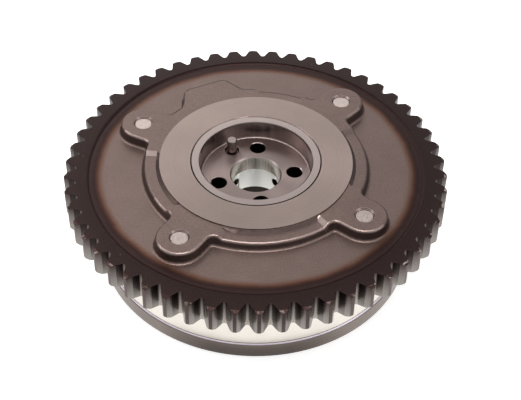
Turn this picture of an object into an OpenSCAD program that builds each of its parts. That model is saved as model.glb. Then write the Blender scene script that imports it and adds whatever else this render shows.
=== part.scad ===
// Cam phaser: a chain sprocket plate with a vane motor bolted to its front.
// Millimetres and degrees. The axis is Z, the front cover rests on z = 0 and the camshaft side looks up.
// Angles run anticlockwise from +X, seen from the camshaft side.

/* [Teeth] */
// Number of chain teeth
tooth_count = 54; // [50:2:58]
// Pitch of the inverted-tooth chain
chain_pitch = 6.35; // [6.1:0.05:6.7]
// Depth of a tooth from tip to root
tooth_depth = 3.4; // [3:0.1:3.8]
// Width of the flat on a tooth's tip
tip_width = 1; // [0.7:0.1:1.2]
// Lean of the straight part of a tooth's flank
flank_lean = 27; // [24:1:30]
// Angle where a tooth's round shoulder meets its tip
shoulder_angle = 45; // [38:1:50]
// Radius of the rounding between two teeth
root_round = 0.75; // [0.6:0.05:1]
// Angle of the first tooth
tooth_phase = -1.8; // [-3:0.1:3]
// Radial width of the chamfer across the tooth tips
tip_chamfer = 1; // [0.6:0.05:1.2]

/* [Sprocket plate] */
// Width of the toothed rim along the axis
rim_width = 8.6; // [7.6:0.1:9.4]
// Radial width of the flat rim inside the tooth roots
rim_band = 3; // [2.5:0.1:4]
// Step up from the web to the toothed rim
rim_step = 0.5; // [0.3:0.05:0.7]
// Depth of the groove at the foot of that step
rim_groove = 0.25; // [0.15:0.05:0.35]
// Height of the turned face above the toothed rim
face_height = 3.1; // [2.8:0.1:3.8]
// Outer radius of the turned face
face_r = 27.7; // [26.5:0.1:28.5]
// Step up from the lobes to the turned face
face_rise = 0.3; // [0.1:0.05:0.4]
// Outer radius of the raised platform between the lobes
ledge_r = 32.1; // [31:0.1:32.6]
// Depth of the ledge below the turned face
ledge_drop = 1.2; // [0.8:0.05:1.5]
// Radial width of the slope from the turned face down to the ledge
ledge_slope = 0.95; // [0.6:0.05:1.3]
// Angle over which a ledge ramps up to a lobe
ramp_angle = 2.5; // [1.5:0.1:3.5]
// Rounding where the platform's wall meets the web
foot_fillet = 0.8; // [0.4:0.1:1]
// Rounding along the platform's upper edge
edge_round = 0.7; // [0.4:0.05:0.8]
// Slope of the platform's wall from upright
wall_draft = 6; // [2:1:8]

/* [Bolt lobes] */
// Angles of the four bolts
bolt_angles = [46.5, 155, 236.5, 324.5]; // [0:0.5:360]
// Radius of the circle the bolts stand on
bolt_circle_r = 36.8; // [36:0.1:37.2]
// Radius of a lobe round its bolt
lobe_r = 6.55; // [6.2:0.05:7.2]
// Fillet where a lobe's neck joins the platform
neck_fillet = 1.7; // [1.5:0.1:2.2]
// Angle that each lobe's top runs on past its neck, anticlockwise
shoulder_after = [2, 4.5, 1, 0.6]; // [0.4:0.1:6]
// Angle that each lobe's top runs on past its neck, clockwise
shoulder_before = [5, 1, 1, 1.4]; // [0.4:0.1:6]

/* [Lock boss] */
// Angle of the broad boss that backs the lock pin's seat
boss_angle = 115.5; // [113:0.5:118]
// Outer radius of the boss
boss_reach = 37.8; // [37:0.1:38.6]
// Half width of the boss at the edge of the platform
boss_half_width = 9.15; // [8.5:0.05:9.8]
// Lean of the boss's sides
boss_lean = 25; // [20:1:28]
// Rounding of the boss's outer corners
boss_corner = 3; // [2:0.1:4]
// Fillet where the boss joins the platform
boss_fillet = 3; // [2:0.1:4]
// Angle that the boss's top runs on past its side, clockwise
boss_shoulder = 4.2; // [1:0.1:6]

/* [Stator housing] */
// Outer radius of the housing
housing_r = 45.4; // [44.6:0.1:45.8]
// Height of the housing
housing_h = 15.3; // [14.7:0.1:16.5]
// Thickness of the wall round the oil chambers
housing_wall = 5.9; // [5.2:0.1:6.2]
// Half angle of a shoe, the web between two chambers
shoe_half_angle = 13; // [12:0.5:14]
// Extra angle on the shoe that stops the widest vane
stop_extra_angle = 3.5; // [2:0.5:5]
// Chamfer on the housing's outer edges
housing_chamfer = 0.3; // [0.2:0.1:0.5]

/* [Front cover] */
// Reach of the front cover's rim past the housing
cover_lip = 0.5; // [0.4:0.1:1.2]
// Thickness of the front cover
cover_t = 5.4; // [5.2:0.1:7]
// Radius of the hole for the camshaft bolt's head
cover_hole_r = 14.6; // [14.4:0.1:16]
// Chamfer on the cover's edges
cover_chamfer = 0.5; // [0.3:0.1:0.8]

/* [Rotor] */
// Radius of the rotor's hub between the vanes
hub_r = 21; // [20.5:0.1:21.6]
// Outer radius of the hub end that fills the plate's hole
hub_end_r = 18.6; // [18.2:0.1:19]
// Radius of the recess for the camshaft's nose
recess_r = 16; // [15.6:0.1:16.4]
// Depth of the recess
recess_depth = 5.7; // [5:0.1:6]
// Rounding at the foot of the recess's wall
recess_fillet = 0.6; // [0.3:0.1:0.9]
// Radius of the bolt bore
bore_r = 7.1; // [6.6:0.1:7.3]
// Length of the bolt bore
bore_length = 4.7; // [4:0.1:5]
// Radius of the oil gallery below the bolt bore
gallery_r = 7.7; // [7.6:0.1:8]
// Height of the oil gallery
gallery_h = 7.7; // [7:0.1:8.2]
// Radius of the pocket for the camshaft bolt's head
head_pocket_r = 14; // [13:0.1:14.2]
// Angle the rotor turns from its locked place, clockwise
rotor_travel = 30; // [28:0.5:30]
// Smallest gap left between a vane and a shoe at rest
stop_gap_angle = 0.5; // [0.4:0.1:1]
// Chamfer on the rotor's turned edges
rotor_chamfer = 0.4; // [0.2:0.1:0.6]

/* [Oil ways] */
// Angles of the axial oil holes in the recess
feed_angles = [5.6, 87.6, 199.9, 278.3]; // [0:0.1:360]
// Radius of the circle of axial oil holes
feed_circle_r = 11.25; // [11:0.05:11.4]
// Radius of an axial oil hole
feed_hole_r = 2.25; // [2:0.05:2.4]
// Angles of the drillings from the bolt bore
return_angles = [42, 140, 229, 317]; // [0:1:360]
// Radius of the drillings
drill_r = 1.3; // [1:0.1:1.5]
// Depth of the oil groove from a drilling to its vane
groove_depth = 1.2; // [0.8:0.1:1.6]
// Width of the oil groove from a drilling to its vane
groove_w = 1.8; // [1.4:0.1:1.9]
// Angle from an axial hole to the face of its vane
feed_lead_angle = 2.4; // [2.2:0.1:3]

/* [Dowel pin] */
// Angle of the dowel pin
dowel_angle = 125.4; // [122:0.1:130]
// Radius of the circle the dowel stands on
dowel_circle_r = 12.3; // [12:0.1:12.6]
// Radius of the dowel's free end
dowel_r = 1.5; // [1.3:0.05:1.55]
// Radius of the dowel's shank in the rotor
dowel_shank_r = 1.75; // [1.75:0.05:1.9]
// Height of the dowel above the recess floor
dowel_height = 4.25; // [3.5:0.05:5]
// Length of the dowel's shank
dowel_shank_length = 5; // [4:0.1:5]
// Chamfer on the dowel's free end
dowel_lead = 0.3; // [0.2:0.05:0.5]
// Radius of the mouth round the dowel
dowel_mouth_r = 2.1; // [2.05:0.05:2.3]
// Depth of the mouth round the dowel
dowel_mouth_depth = 0.9; // [0.6:0.1:1.2]

/* [Lock pin] */
// Distance of the lock pin's axis in from the chamber's wall
lock_inset = 9.5; // [9:0.1:10]
// Radius of the lock pin's nose
lock_pin_r = 4; // [3.6:0.1:4.2]
// Radius of the lock pin's flange
lock_flange_r = 5; // [4.7:0.1:5.2]
// Height of the flange
lock_flange_h = 3; // [2:0.1:3.4]
// Thickness of the solid nose
lock_nose_t = 3; // [2:0.1:4]
// Radius of the hollow that holds the spring
lock_hollow_r = 2.9; // [2.7:0.1:3]
// Stroke of the pin into its bush
lock_stroke = 3; // [2:0.1:3.2]
// Wall of the bush
lock_bush_wall = 1.7; // [1.2:0.1:2]
// Height of the bush
lock_bush_h = 5; // [4:0.1:5.5]
// Thickness of the spring's seat
lock_seat_t = 1.5; // [1:0.1:1.8]
// Radius of the spring's wire
lock_wire_r = 0.35; // [0.25:0.05:0.4]
// Turns of the spring
lock_turns = 6; // [5:1:8]

/* [Seals] */
// Width of a seal strip
seal_w = 2.4; // [2:0.1:2.8]
// Radial thickness of a seal strip
seal_t = 2; // [1.6:0.1:2.2]
// Depth of a seal's slot
slot_depth = 3.2; // [3:0.1:3.4]
// Thickness of a seal's leaf spring
leaf_t = 0.25; // [0.15:0.05:0.3]

/* [Bolts] */
// Radius of a bolt
bolt_r = 2.5; // [2.3:0.05:2.6]
// Radius of a bolt's head
head_r = 4.4; // [4:0.1:4.6]
// Height of a bolt's head
head_h = 3.3; // [2.8:0.1:3.6]
// Depth of the head below the cover's face
head_sink = 0.3; // [0.2:0.1:0.5]
// Depth of the bolt's end below its lobe
end_sink = 0.5; // [0.3:0.1:0.8]
// Width across the flats of the socket in the head
socket_w = 4; // [3.5:0.1:4.2]
// Depth of the socket in the head
socket_depth = 2; // [1.5:0.1:2.2]
// Chamfer at the mouth of a threaded hole
mouth_chamfer = 0.35; // [0.2:0.05:0.5]

/* [Clearances] */
// Radial clearance of a running fit
running_clear = 0.05; // [0.03:0.01:0.08]
// Axial clearance at each end of the rotor
end_clear = 0.05; // [0.03:0.01:0.1]
// Relief of the vanes' ends below the hub's ends
vane_relief = 0.02; // [0.01:0.01:0.04]
// Clearance of the vane tips and the shoe tips
tip_clear = 0.1; // [0.05:0.01:0.15]
// Clearance of a seal in its slot, and of a leaf spring under it
seal_clear = 0.04; // [0.03:0.01:0.08]
// Radial clearance of a bolt in its hole
bolt_clear = 0.25; // [0.15:0.05:0.4]
// Radial clearance of a bolt's head in its pocket
head_clear = 0.5; // [0.3:0.05:0.7]
// Radial clearance of the lock pin's nose in its bush
bush_clear = 0.3; // [0.2:0.05:0.4]

/* [Hidden] */
$fn = 96;
cut = 1;
full_turn = 360;
least_angle = 0.01;

// Levels along the axis
z_plate = cover_t + housing_h;
z_rim = z_plate + rim_width;
z_web = z_rim - rim_step;
z_face = z_rim + face_height;
z_lobe = z_face - face_rise;
z_ledge = z_face - ledge_drop;
z_rotor_low = cover_t + end_clear;
z_rotor_high = z_plate - end_clear;
z_hub_end = z_face - end_clear;
z_recess = z_hub_end - recess_depth;
z_gallery = z_recess - bore_length;
z_head_pocket = z_gallery - gallery_h;
drill_sink = 2.3;
z_drill = z_rotor_high - drill_sink;
feed_overrun = 0.65;
z_feed = z_drill - drill_r - feed_overrun;

// Teeth
tip_addendum = 0.12;
pitch_angle = full_turn / tooth_count;
tip_r = chain_pitch * (1 / tan(pitch_angle / 2) + tip_addendum) / 2;
root_r = tip_r - tooth_depth;
tip_slope = 0.6;
flank_least = 0.2;
shoulder_least = 0.1;
shoulder_steps = 3;
root_steps = 3;

// Platform outline, a ring of lobes joined by arcs of the ledge circle
foot_steps = 3;
edge_steps = 3;
corner_steps = 6;
fillet_steps = 4;
ledge_steps = 8;
slope_tuck = 0.3;
wall_run = (z_ledge - z_web) * tan(wall_draft);
boss_side = ledge_r * sin(boss_lean) + boss_half_width * cos(boss_lean);
lobe_reach = bolt_circle_r + lobe_r;
hub_hole_r = hub_end_r + running_clear;

// Vanes and shoes, in step: vane i lies between shoe i - 1 and shoe i, and the lock vane meets the stops
seats = [0, 1, 2, 3];
lock_vane = 1;
shoe_from = [for (i = seats) bolt_angles[i] - shoe_half_angle - (i == lock_vane ? stop_extra_angle : 0)];
shoe_to = [for (i = seats) bolt_angles[i] + shoe_half_angle];
vane_from = [
    for (i = seats)
        i == lock_vane ? shoe_to[i - 1] + rotor_travel + stop_gap_angle : feed_angles[i] + feed_lead_angle
];
vane_to = [for (i = seats) shoe_from[i] - stop_gap_angle * (i == lock_vane ? 1 : 2)];
chamber_r = housing_r - housing_wall;
vane_r = chamber_r - tip_clear;
shoe_tip_r = hub_r + tip_clear;
cover_r = housing_r + cover_lip;

// Lock pin, drawn in line with the boss and just clear of its bush
lock_place = (chamber_r - lock_inset) * [cos(boss_angle), sin(boss_angle)];
lock_tip_z = z_rotor_high - end_clear;
lock_bore_r = lock_pin_r + running_clear;
lock_pocket_r = lock_flange_r + running_clear;
lock_shoulder_z = lock_tip_z - lock_bush_h - lock_stroke;
lock_step_z = lock_shoulder_z + lock_stroke + bush_clear;
lock_bush_in_r = lock_pin_r + bush_clear;
lock_bush_out_r = lock_bush_in_r + lock_bush_wall;
lock_seat_z = z_rotor_low + lock_seat_t;
lock_spring_top = lock_tip_z - lock_nose_t;
lock_spring_r = lock_hollow_r - bush_clear - lock_wire_r;

// Seals
strip_h = z_rotor_high - z_rotor_low - 2 * end_clear;
slot_w = seal_w + 2 * seal_clear;
vane_strip_out_r = chamber_r - seal_clear;
vane_slot_r = vane_r - slot_depth;
shoe_strip_in_r = hub_r + seal_clear;
shoe_slot_r = shoe_tip_r + slot_depth;
leaf_end_room = 1.25;
leaf_length = strip_h - 2 * leaf_end_room;
leaf_w = seal_w - 2 * leaf_t;
leaf_steps = 8;

// Bolts
head_top = head_sink + head_h;
bolt_end_z = z_lobe - end_sink;
bolt_end_chamfer = 0.15;
socket_sides = 6;
socket_r = socket_w / 2 / cos(full_turn / socket_sides / 2);

// Points along an arc
function arc(centre, r, from, to, steps, first = 0) =
    [for (i = [first:steps]) centre + r * polar(from + (to - from) * i / steps)];

// Unit vector at an angle
function polar(a) = [cos(a), sin(a)];

// Angle of a point seen from the axis
function angle_of(p) = atan2(p[1], p[0]);

// Point turned about the axis
function turned(p, a) = [p[0] * cos(a) - p[1] * sin(a), p[0] * sin(a) + p[1] * cos(a)];

// List in the opposite order
function backwards(list) = [for (i = [len(list) - 1:-1:0]) list[i]];

// Points mirrored across the X axis, in the opposite order
function mirrored(list) = backwards([for (p = list) [p[0], -p[1]]]);

// Area of the parallelogram between two vectors
function span(a, b) = a[0] * b[1] - a[1] * b[0];

// Half a tooth in its own frame: a round shoulder and a round root, joined by a flank that touches both
root_centre = (root_r + root_round) * polar(pitch_angle / 2);
flank_foot = root_centre + root_round * polar(270 - flank_lean);
tip_corner = [tip_r, tip_width / 2];
touching_r = span(polar(-flank_lean), tip_corner - flank_foot)
    / span(polar(-flank_lean), polar(shoulder_angle) - polar(90 - flank_lean));
longest_r = (tip_corner[0] - flank_foot[0] - flank_least) / (cos(shoulder_angle) - sin(flank_lean));
shoulder_r = max(shoulder_least, min(touching_r, longest_r));
shoulder_centre = tip_corner - shoulder_r * polar(shoulder_angle);
shoulder = arc(shoulder_centre, shoulder_r, shoulder_angle, 90 - flank_lean, shoulder_steps);
root = arc(root_centre, root_round, 270 - flank_lean, 180 + pitch_angle / 2, root_steps);
half_root = [for (i = [0:root_steps - 1]) root[i]];

// Outline of the toothed rim, with the middle of each root given once
tooth_outline = [
    for (t = [0:tooth_count - 1])
        for (p = concat(mirrored(concat(shoulder, half_root)), shoulder, root))
            turned(p, tooth_phase + t * pitch_angle)
];

// A lobe is [angle, reach, side distance, lean, corner radius, fillet, shoulder before, shoulder after]
function bolt_lobe(i) =
    [bolt_angles[i], lobe_reach, lobe_r, 0, lobe_r, neck_fillet, shoulder_before[i], shoulder_after[i]];
lock_lobe =
    [boss_angle, boss_reach, boss_side, boss_lean, boss_corner, boss_fillet, boss_shoulder, 0];
lobes = [bolt_lobe(0), lock_lobe, bolt_lobe(1), bolt_lobe(2), bolt_lobe(3)];
lobe_places = [for (i = [0:len(lobes) - 1]) i];
lock_lobe_place = 1;

// Centre of the fillet between a lobe's side and the ledge circle, in the lobe's own frame
function fillet_centre(lobe) =
    let (d = lobe[2] + lobe[5])
        d * [sin(lobe[3]), cos(lobe[3])]
            + sqrt(pow(ledge_r + lobe[5], 2) - d * d) * [cos(lobe[3]), -sin(lobe[3])];

// Centre of a lobe's outer corner, in the lobe's own frame
function corner_centre(lobe) =
    let (d = lobe[2] - lobe[4])
        d * [sin(lobe[3]), cos(lobe[3])]
            + sqrt(pow(lobe[1] - lobe[4], 2) - d * d) * [cos(lobe[3]), -sin(lobe[3])];

// Half angle that a lobe takes on the ledge circle
function lobe_half_angle(lobe) = angle_of(fillet_centre(lobe));

// One side of a lobe from its tip to the ledge circle, moved outwards by grow
function lobe_side(lobe, grow, first) =
    let (corner = corner_centre(lobe), fillet = fillet_centre(lobe))
        concat(
            arc(corner, lobe[4] + grow, angle_of(corner), 90 - lobe[3], corner_steps, first),
            arc(fillet, lobe[5] - grow, 270 - lobe[3], 180 + angle_of(fillet), fillet_steps)
        );

// A whole lobe, anticlockwise, with height 1 at each point
function lobe_points(lobe, grow) =
    let (round_tip = angle_of(corner_centre(lobe)) < least_angle)
        [for (p = concat(mirrored(lobe_side(lobe, grow, round_tip ? 1 : 0)), lobe_side(lobe, grow, 0)))
            concat(turned(p, lobe[0]), 1)];

// The ledge after a lobe: height 1 on the shoulders and 0 along the ledge
function ledge_points(i, grow) =
    let (
        lobe = lobes[i],
        next = lobes[(i + 1) % len(lobes)],
        from = lobe[0] + lobe_half_angle(lobe),
        to = next[0] + (next[0] < lobe[0] ? full_turn : 0) - lobe_half_angle(next),
        low_from = from + lobe[7] + ramp_angle,
        low_to = to - next[6] - ramp_angle
    )
        i == lock_lobe_place
            ? [concat((ledge_r + grow) * polar((from + to) / 2), 1)]
            : concat(
                [concat((ledge_r + grow) * polar(low_from - ramp_angle), 1)],
                [for (p = arc([0, 0], ledge_r + grow, low_from, low_to, ledge_steps)) concat(p, 0)],
                [concat((ledge_r + grow) * polar(low_to + ramp_angle), 1)]
            );

// The whole outline as [x, y, height] points
function platform_outline(grow) =
    [for (i = lobe_places) each concat(lobe_points(lobes[i], grow), ledge_points(i, grow))];

// A ring of the platform's skin: low is its level on the ledges, high its level on the lobes
function outline_ring(grow, low, high) =
    [for (p = platform_outline(grow)) [p[0], p[1], low + (high - low) * p[2]]];
function circle_ring(r, low, high) =
    [for (p = platform_outline(0)) concat(r * polar(angle_of(p)), low + (high - low) * p[2])];

// Solid skinned over rings that run from its foot to its crown
module skin(rings) {
    count = len(rings[0]);
    last = len(rings) - 1;
    points = concat([for (ring = rings) each ring], [[0, 0, rings[0][0][2]], [0, 0, rings[last][0][2]]]);
    foot = len(points) - 2;
    crown = len(points) - 1;
    walls = [
        for (j = [0:last - 1], i = [0:count - 1])
            let (a = j * count + i, b = j * count + (i + 1) % count)
                each [[a, a + count, b + count], [a, b + count, b]]
    ];
    foot_faces = [for (i = [0:count - 1]) [foot, i, (i + 1) % count]];
    crown_faces = [for (i = [0:count - 1]) [crown, last * count + (i + 1) % count, last * count + i]];
    polyhedron(points, concat(walls, foot_faces, crown_faces));
}

// Part of a ring between two angles
module sector(r_in, r_out, z_low, z_high, from, to) {
    rotate([0, 0, from])
        rotate_extrude(angle = to - from)
            translate([r_in, z_low])
                square([r_out - r_in, z_high - z_low]);
}

// Upright round bar between two levels
module bar(r, z_low, z_high) {
    translate([0, 0, z_low])
        cylinder(r = r, h = z_high - z_low);
}

// Round bar along a radius at an angle
module radial_bar(r, from, to, angle, z) {
    rotate([0, 90, angle])
        translate([-z, 0, from])
            cylinder(r = r, h = to - from);
}

// Places its children at a radius and an angle
module at(r, angle) {
    rotate([0, 0, angle])
        translate([r, 0, 0])
            children();
}

// Disc with teeth, chamfered across the tips and stepped down to the web, with a groove at the step's foot
module toothed_disc() {
    outer = tip_r + cut;
    rise = (tip_chamfer + cut) * tip_slope;
    intersection() {
        translate([0, 0, z_plate - cut])
            linear_extrude(rim_width + 2 * cut)
                polygon(tooth_outline);
        rotate_extrude()
            polygon([
                [0, z_plate],
                [tip_r - tip_chamfer, z_plate],
                [outer, z_plate + rise],
                [outer, z_rim - rise],
                [tip_r - tip_chamfer, z_rim],
                [root_r - rim_band, z_rim],
                [root_r - rim_band - rim_step, z_web - rim_groove],
                [root_r - rim_band - rim_step - rim_groove, z_web],
                [0, z_web]
            ]);
    }
}

// Raised platform with its lobes, drafted wall, foot fillet and rounded edge
module platform() {
    foot = [
        for (i = [0:foot_steps])
            let (a = 90 * i / foot_steps, z = z_web + foot_fillet * (1 - cos(a)))
                outline_ring(wall_run + foot_fillet * (1 - sin(a)), z, z)
    ];
    edge = [
        for (i = [0:edge_steps])
            let (a = 90 * i / edge_steps, z = edge_round * (1 - sin(a)))
                outline_ring(-edge_round * (1 - cos(a)), z_ledge - z, z_lobe - z)
    ];
    slope_foot = circle_ring(face_r + ledge_slope, z_ledge, z_lobe);
    slope_head = circle_ring(face_r - slope_tuck, z_lobe, z_lobe);
    buried = z_web - cut;
    skin(concat(
        [outline_ring(wall_run + foot_fillet, buried, buried)],
        foot,
        edge,
        [slope_foot, slope_head]
    ));
}

// The plate: toothed disc, platform and turned face, with the hub hole, bolt holes and bush seat
module sprocket_plate() {
    color("dimgray")
        difference() {
            union() {
                toothed_disc();
                platform();
                bar(face_r, z_web - cut, z_face);
            }
            bar(hub_hole_r, z_plate - cut, z_face + cut);
            translate([0, 0, z_face - rotor_chamfer / 2])
                cylinder(r1 = hub_hole_r, r2 = hub_hole_r + cut, h = cut);
            for (a = bolt_angles)
                at(bolt_circle_r, a) {
                    bar(bolt_r, z_plate - cut, z_lobe + cut);
                    translate([0, 0, z_lobe - mouth_chamfer])
                        cylinder(r1 = bolt_r, r2 = bolt_r + cut, h = cut);
                }
            translate(lock_place)
                bar(lock_bush_out_r, z_plate - cut, z_plate + lock_bush_h);
        }
}

// Ring wall with four shoes that reach in to the rotor's hub
module stator_housing() {
    color("silver")
        difference() {
            rotate_extrude()
                polygon([
                    [shoe_tip_r, cover_t],
                    [housing_r - housing_chamfer, cover_t],
                    [housing_r, cover_t + housing_chamfer],
                    [housing_r, z_plate - housing_chamfer],
                    [housing_r - housing_chamfer, z_plate],
                    [shoe_tip_r, z_plate]
                ]);
            for (i = seats) {
                before = (i + len(seats) - 1) % len(seats);
                wrap = shoe_to[before] > shoe_from[i] ? full_turn : 0;
                sector(shoe_tip_r - cut, chamber_r, cover_t - cut, z_plate + cut, shoe_to[before] - wrap,
                    shoe_from[i]);
                at(bolt_circle_r, bolt_angles[i])
                    bar(bolt_r + bolt_clear, cover_t - cut, z_plate + cut);
                at(shoe_tip_r - cut, bolt_angles[i])
                    translate([0, -slot_w / 2, cover_t - cut])
                        cube([slot_depth + cut, slot_w, housing_h + 2 * cut]);
            }
        }
}

// Front cover with the hole for the camshaft bolt and four sunk bolt seats
module front_cover() {
    color("gray")
        difference() {
            rotate_extrude()
                polygon([
                    [cover_hole_r + cover_chamfer, 0],
                    [cover_r - cover_chamfer, 0],
                    [cover_r, cover_chamfer],
                    [cover_r, cover_t - cover_chamfer],
                    [cover_r - cover_chamfer, cover_t],
                    [cover_hole_r, cover_t],
                    [cover_hole_r, cover_chamfer]
                ]);
            for (a = bolt_angles)
                at(bolt_circle_r, a) {
                    bar(bolt_r + bolt_clear, -cut, cover_t + cut);
                    bar(head_r + head_clear, -cut, head_top);
                }
        }
}

// One bolt, head down, with a hexagon socket
module cover_bolt() {
    difference() {
        rotate_extrude()
            polygon([
                [0, head_sink],
                [head_r - bolt_end_chamfer, head_sink],
                [head_r, head_sink + bolt_end_chamfer],
                [head_r, head_top],
                [bolt_r, head_top],
                [bolt_r, bolt_end_z - bolt_end_chamfer],
                [bolt_r - bolt_end_chamfer, bolt_end_z],
                [0, bolt_end_z]
            ]);
        translate([0, 0, head_sink - cut])
            cylinder(r = socket_r, h = socket_depth + cut, $fn = socket_sides);
    }
}

module cover_bolts() {
    color("lightgray")
        for (a = bolt_angles)
            at(bolt_circle_r, a)
                cover_bolt();
}

// Turned body of the rotor: hub, recess, bolt bore, gallery and head pocket
module rotor_hub() {
    fillet_at = [recess_r - recess_fillet, z_recess + recess_fillet];
    rotate_extrude()
        polygon(concat(
            [
                [head_pocket_r, z_rotor_low],
                [hub_r, z_rotor_low],
                [hub_r, z_rotor_high],
                [hub_end_r, z_rotor_high],
                [hub_end_r, z_hub_end - rotor_chamfer / 2],
                [hub_end_r - rotor_chamfer / 2, z_hub_end],
                [recess_r + rotor_chamfer, z_hub_end],
                [recess_r, z_hub_end - rotor_chamfer]
            ],
            arc(fillet_at, recess_fillet, 0, -90, fillet_steps),
            [
                [bore_r + rotor_chamfer, z_recess],
                [bore_r, z_recess - rotor_chamfer],
                [bore_r, z_gallery],
                [gallery_r, z_gallery],
                [gallery_r, z_head_pocket],
                [head_pocket_r, z_head_pocket]
            ]
        ));
}

// Oil way from an axial hole out to the clockwise side of a vane
module feed_way(angle) {
    at(feed_circle_r, angle) {
        bar(feed_hole_r, z_feed, z_recess + cut);
        translate([0, 0, z_recess - rotor_chamfer / 2])
            cylinder(r1 = feed_hole_r, r2 = feed_hole_r + cut, h = cut);
    }
    radial_bar(drill_r, feed_circle_r, hub_r + cut, angle, z_drill);
}

// Oil way from the gallery out to the anticlockwise side of a vane
module return_way(angle, vane_end) {
    radial_bar(drill_r, bore_r / 2, hub_r + cut, angle, z_drill);
    sector(hub_r - groove_depth, hub_r + cut, z_drill - groove_w / 2, z_drill + groove_w / 2,
        vane_end - stop_gap_angle, angle);
}

// Rotor with four vanes of different widths
module vane_rotor() {
    color("darkgray")
        difference() {
            union() {
                rotor_hub();
                for (i = seats)
                    sector(hub_r - cut, vane_r, z_rotor_low + vane_relief, z_rotor_high - vane_relief,
                        vane_from[i], vane_to[i]);
            }
            for (i = seats) {
                feed_way(feed_angles[i]);
                return_way(return_angles[i], vane_to[i]);
                at(vane_slot_r, (vane_from[i] + vane_to[i]) / 2)
                    translate([0, -slot_w / 2, z_rotor_low - cut])
                        cube([slot_depth + cut, slot_w, z_rotor_high - z_rotor_low + 2 * cut]);
            }
            at(dowel_circle_r, dowel_angle) {
                bar(dowel_mouth_r, z_recess - dowel_mouth_depth, z_recess + cut);
                bar(dowel_shank_r, z_recess - dowel_mouth_depth - dowel_shank_length, z_recess);
            }
            translate(lock_place) {
                bar(lock_bore_r, lock_step_z - cut, z_rotor_high + cut);
                bar(lock_pocket_r, z_rotor_low - cut, lock_step_z);
            }
        }
}

// Shouldered dowel that times the rotor to the camshaft
module dowel_pin() {
    shoulder = z_recess - dowel_mouth_depth;
    top = z_recess + dowel_height;
    color("gray")
        at(dowel_circle_r, dowel_angle)
            rotate_extrude()
                polygon([
                    [0, shoulder - dowel_shank_length],
                    [dowel_shank_r, shoulder - dowel_shank_length],
                    [dowel_shank_r, shoulder],
                    [dowel_r, shoulder],
                    [dowel_r, top - dowel_lead],
                    [dowel_r - dowel_lead, top],
                    [0, top]
                ]);
}

// Hollow lock pin with a guide flange
module lock_pin() {
    flange_low = lock_shoulder_z - lock_flange_h;
    color("lightsteelblue")
        translate(lock_place)
            rotate_extrude()
                polygon([
                    [lock_hollow_r, flange_low],
                    [lock_flange_r, flange_low],
                    [lock_flange_r, lock_shoulder_z],
                    [lock_pin_r, lock_shoulder_z],
                    [lock_pin_r, lock_tip_z - rotor_chamfer],
                    [lock_pin_r - rotor_chamfer, lock_tip_z],
                    [0, lock_tip_z],
                    [0, lock_spring_top],
                    [lock_hollow_r, lock_spring_top]
                ]);
}

// Coil spring of round wire between two levels
module lock_spring() {
    steps_per_turn = 14;
    wire_sides = 8;
    low = lock_seat_z + lock_wire_r;
    high = lock_spring_top - lock_wire_r;
    steps = lock_turns * steps_per_turn;
    rings = [
        for (s = [0:steps])
            let (turn = full_turn * s / steps_per_turn, z = low + (high - low) * s / steps)
                [for (w = [0:wire_sides - 1])
                    let (a = full_turn * w / wire_sides, r = lock_spring_r + lock_wire_r * cos(a))
                        [r * cos(turn), r * sin(turn), z + lock_wire_r * sin(a)]]
    ];
    walls = [
        for (s = [0:steps - 1], w = [0:wire_sides - 1])
            let (a = s * wire_sides + w, b = s * wire_sides + (w + 1) % wire_sides)
                each [[a, b, b + wire_sides], [a, b + wire_sides, a + wire_sides]]
    ];
    first_end = [for (w = [wire_sides - 1:-1:0]) w];
    last_end = [for (w = [0:wire_sides - 1]) steps * wire_sides + w];
    color("silver")
        translate(lock_place)
            polyhedron([for (ring = rings) each ring], concat(walls, [first_end, last_end]));
}

// Vented disc that carries the spring on the front cover's side
module lock_spring_seat() {
    vent_r = lock_spring_r / 2;
    color("dimgray")
        translate(lock_place)
            difference() {
                bar(lock_pocket_r, z_rotor_low, lock_seat_z);
                bar(vent_r, z_rotor_low - cut, lock_seat_z + cut);
            }
}

// Hardened seat for the lock pin's nose, pressed into the plate
module lock_bush() {
    color("slategray")
        translate(lock_place)
            rotate_extrude()
                polygon([
                    [lock_bush_in_r + rotor_chamfer, z_plate],
                    [lock_bush_out_r, z_plate],
                    [lock_bush_out_r, z_plate + lock_bush_h],
                    [lock_bush_in_r, z_plate + lock_bush_h],
                    [lock_bush_in_r, z_plate + rotor_chamfer]
                ]);
}

// Arched leaf spring with its ends on x = 0 and its crown towards +X
module leaf(rise) {
    half = leaf_length / 2;
    bend_r = (half * half + rise * rise) / (2 * rise);
    half_angle = asin(half / bend_r);
    bend_at = [rise - bend_r, 0];
    translate([0, leaf_w / 2, (z_rotor_low + z_rotor_high) / 2])
        rotate([90, 0, 0])
            linear_extrude(leaf_w)
                polygon(concat(
                    arc(bend_at, bend_r, -half_angle, half_angle, leaf_steps),
                    arc(bend_at, bend_r - leaf_t, half_angle, -half_angle, leaf_steps)
                ));
}

// Strip in a vane's tip that wipes the chamber wall
module vane_seal(i) {
    inner = vane_strip_out_r - seal_t;
    color("tan")
        intersection() {
            bar(vane_strip_out_r, z_rotor_low, z_rotor_high);
            at(inner, (vane_from[i] + vane_to[i]) / 2)
                translate([0, -seal_w / 2, z_rotor_low + end_clear])
                    cube([seal_t + cut, seal_w, strip_h]);
        }
}

module vane_seal_spring(i) {
    room = vane_strip_out_r - seal_t - vane_slot_r;
    color("silver")
        at(vane_slot_r + leaf_t, (vane_from[i] + vane_to[i]) / 2)
            leaf(room - leaf_t - seal_clear);
}

// Strip in a shoe's tip that wipes the rotor's hub
module shoe_seal(i) {
    color("tan")
        difference() {
            at(hub_r - cut, bolt_angles[i])
                translate([0, -seal_w / 2, z_rotor_low + end_clear])
                    cube([seal_t + cut + seal_clear, seal_w, strip_h]);
            bar(shoe_strip_in_r, z_rotor_low - cut, z_rotor_high + cut);
        }
}

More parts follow.
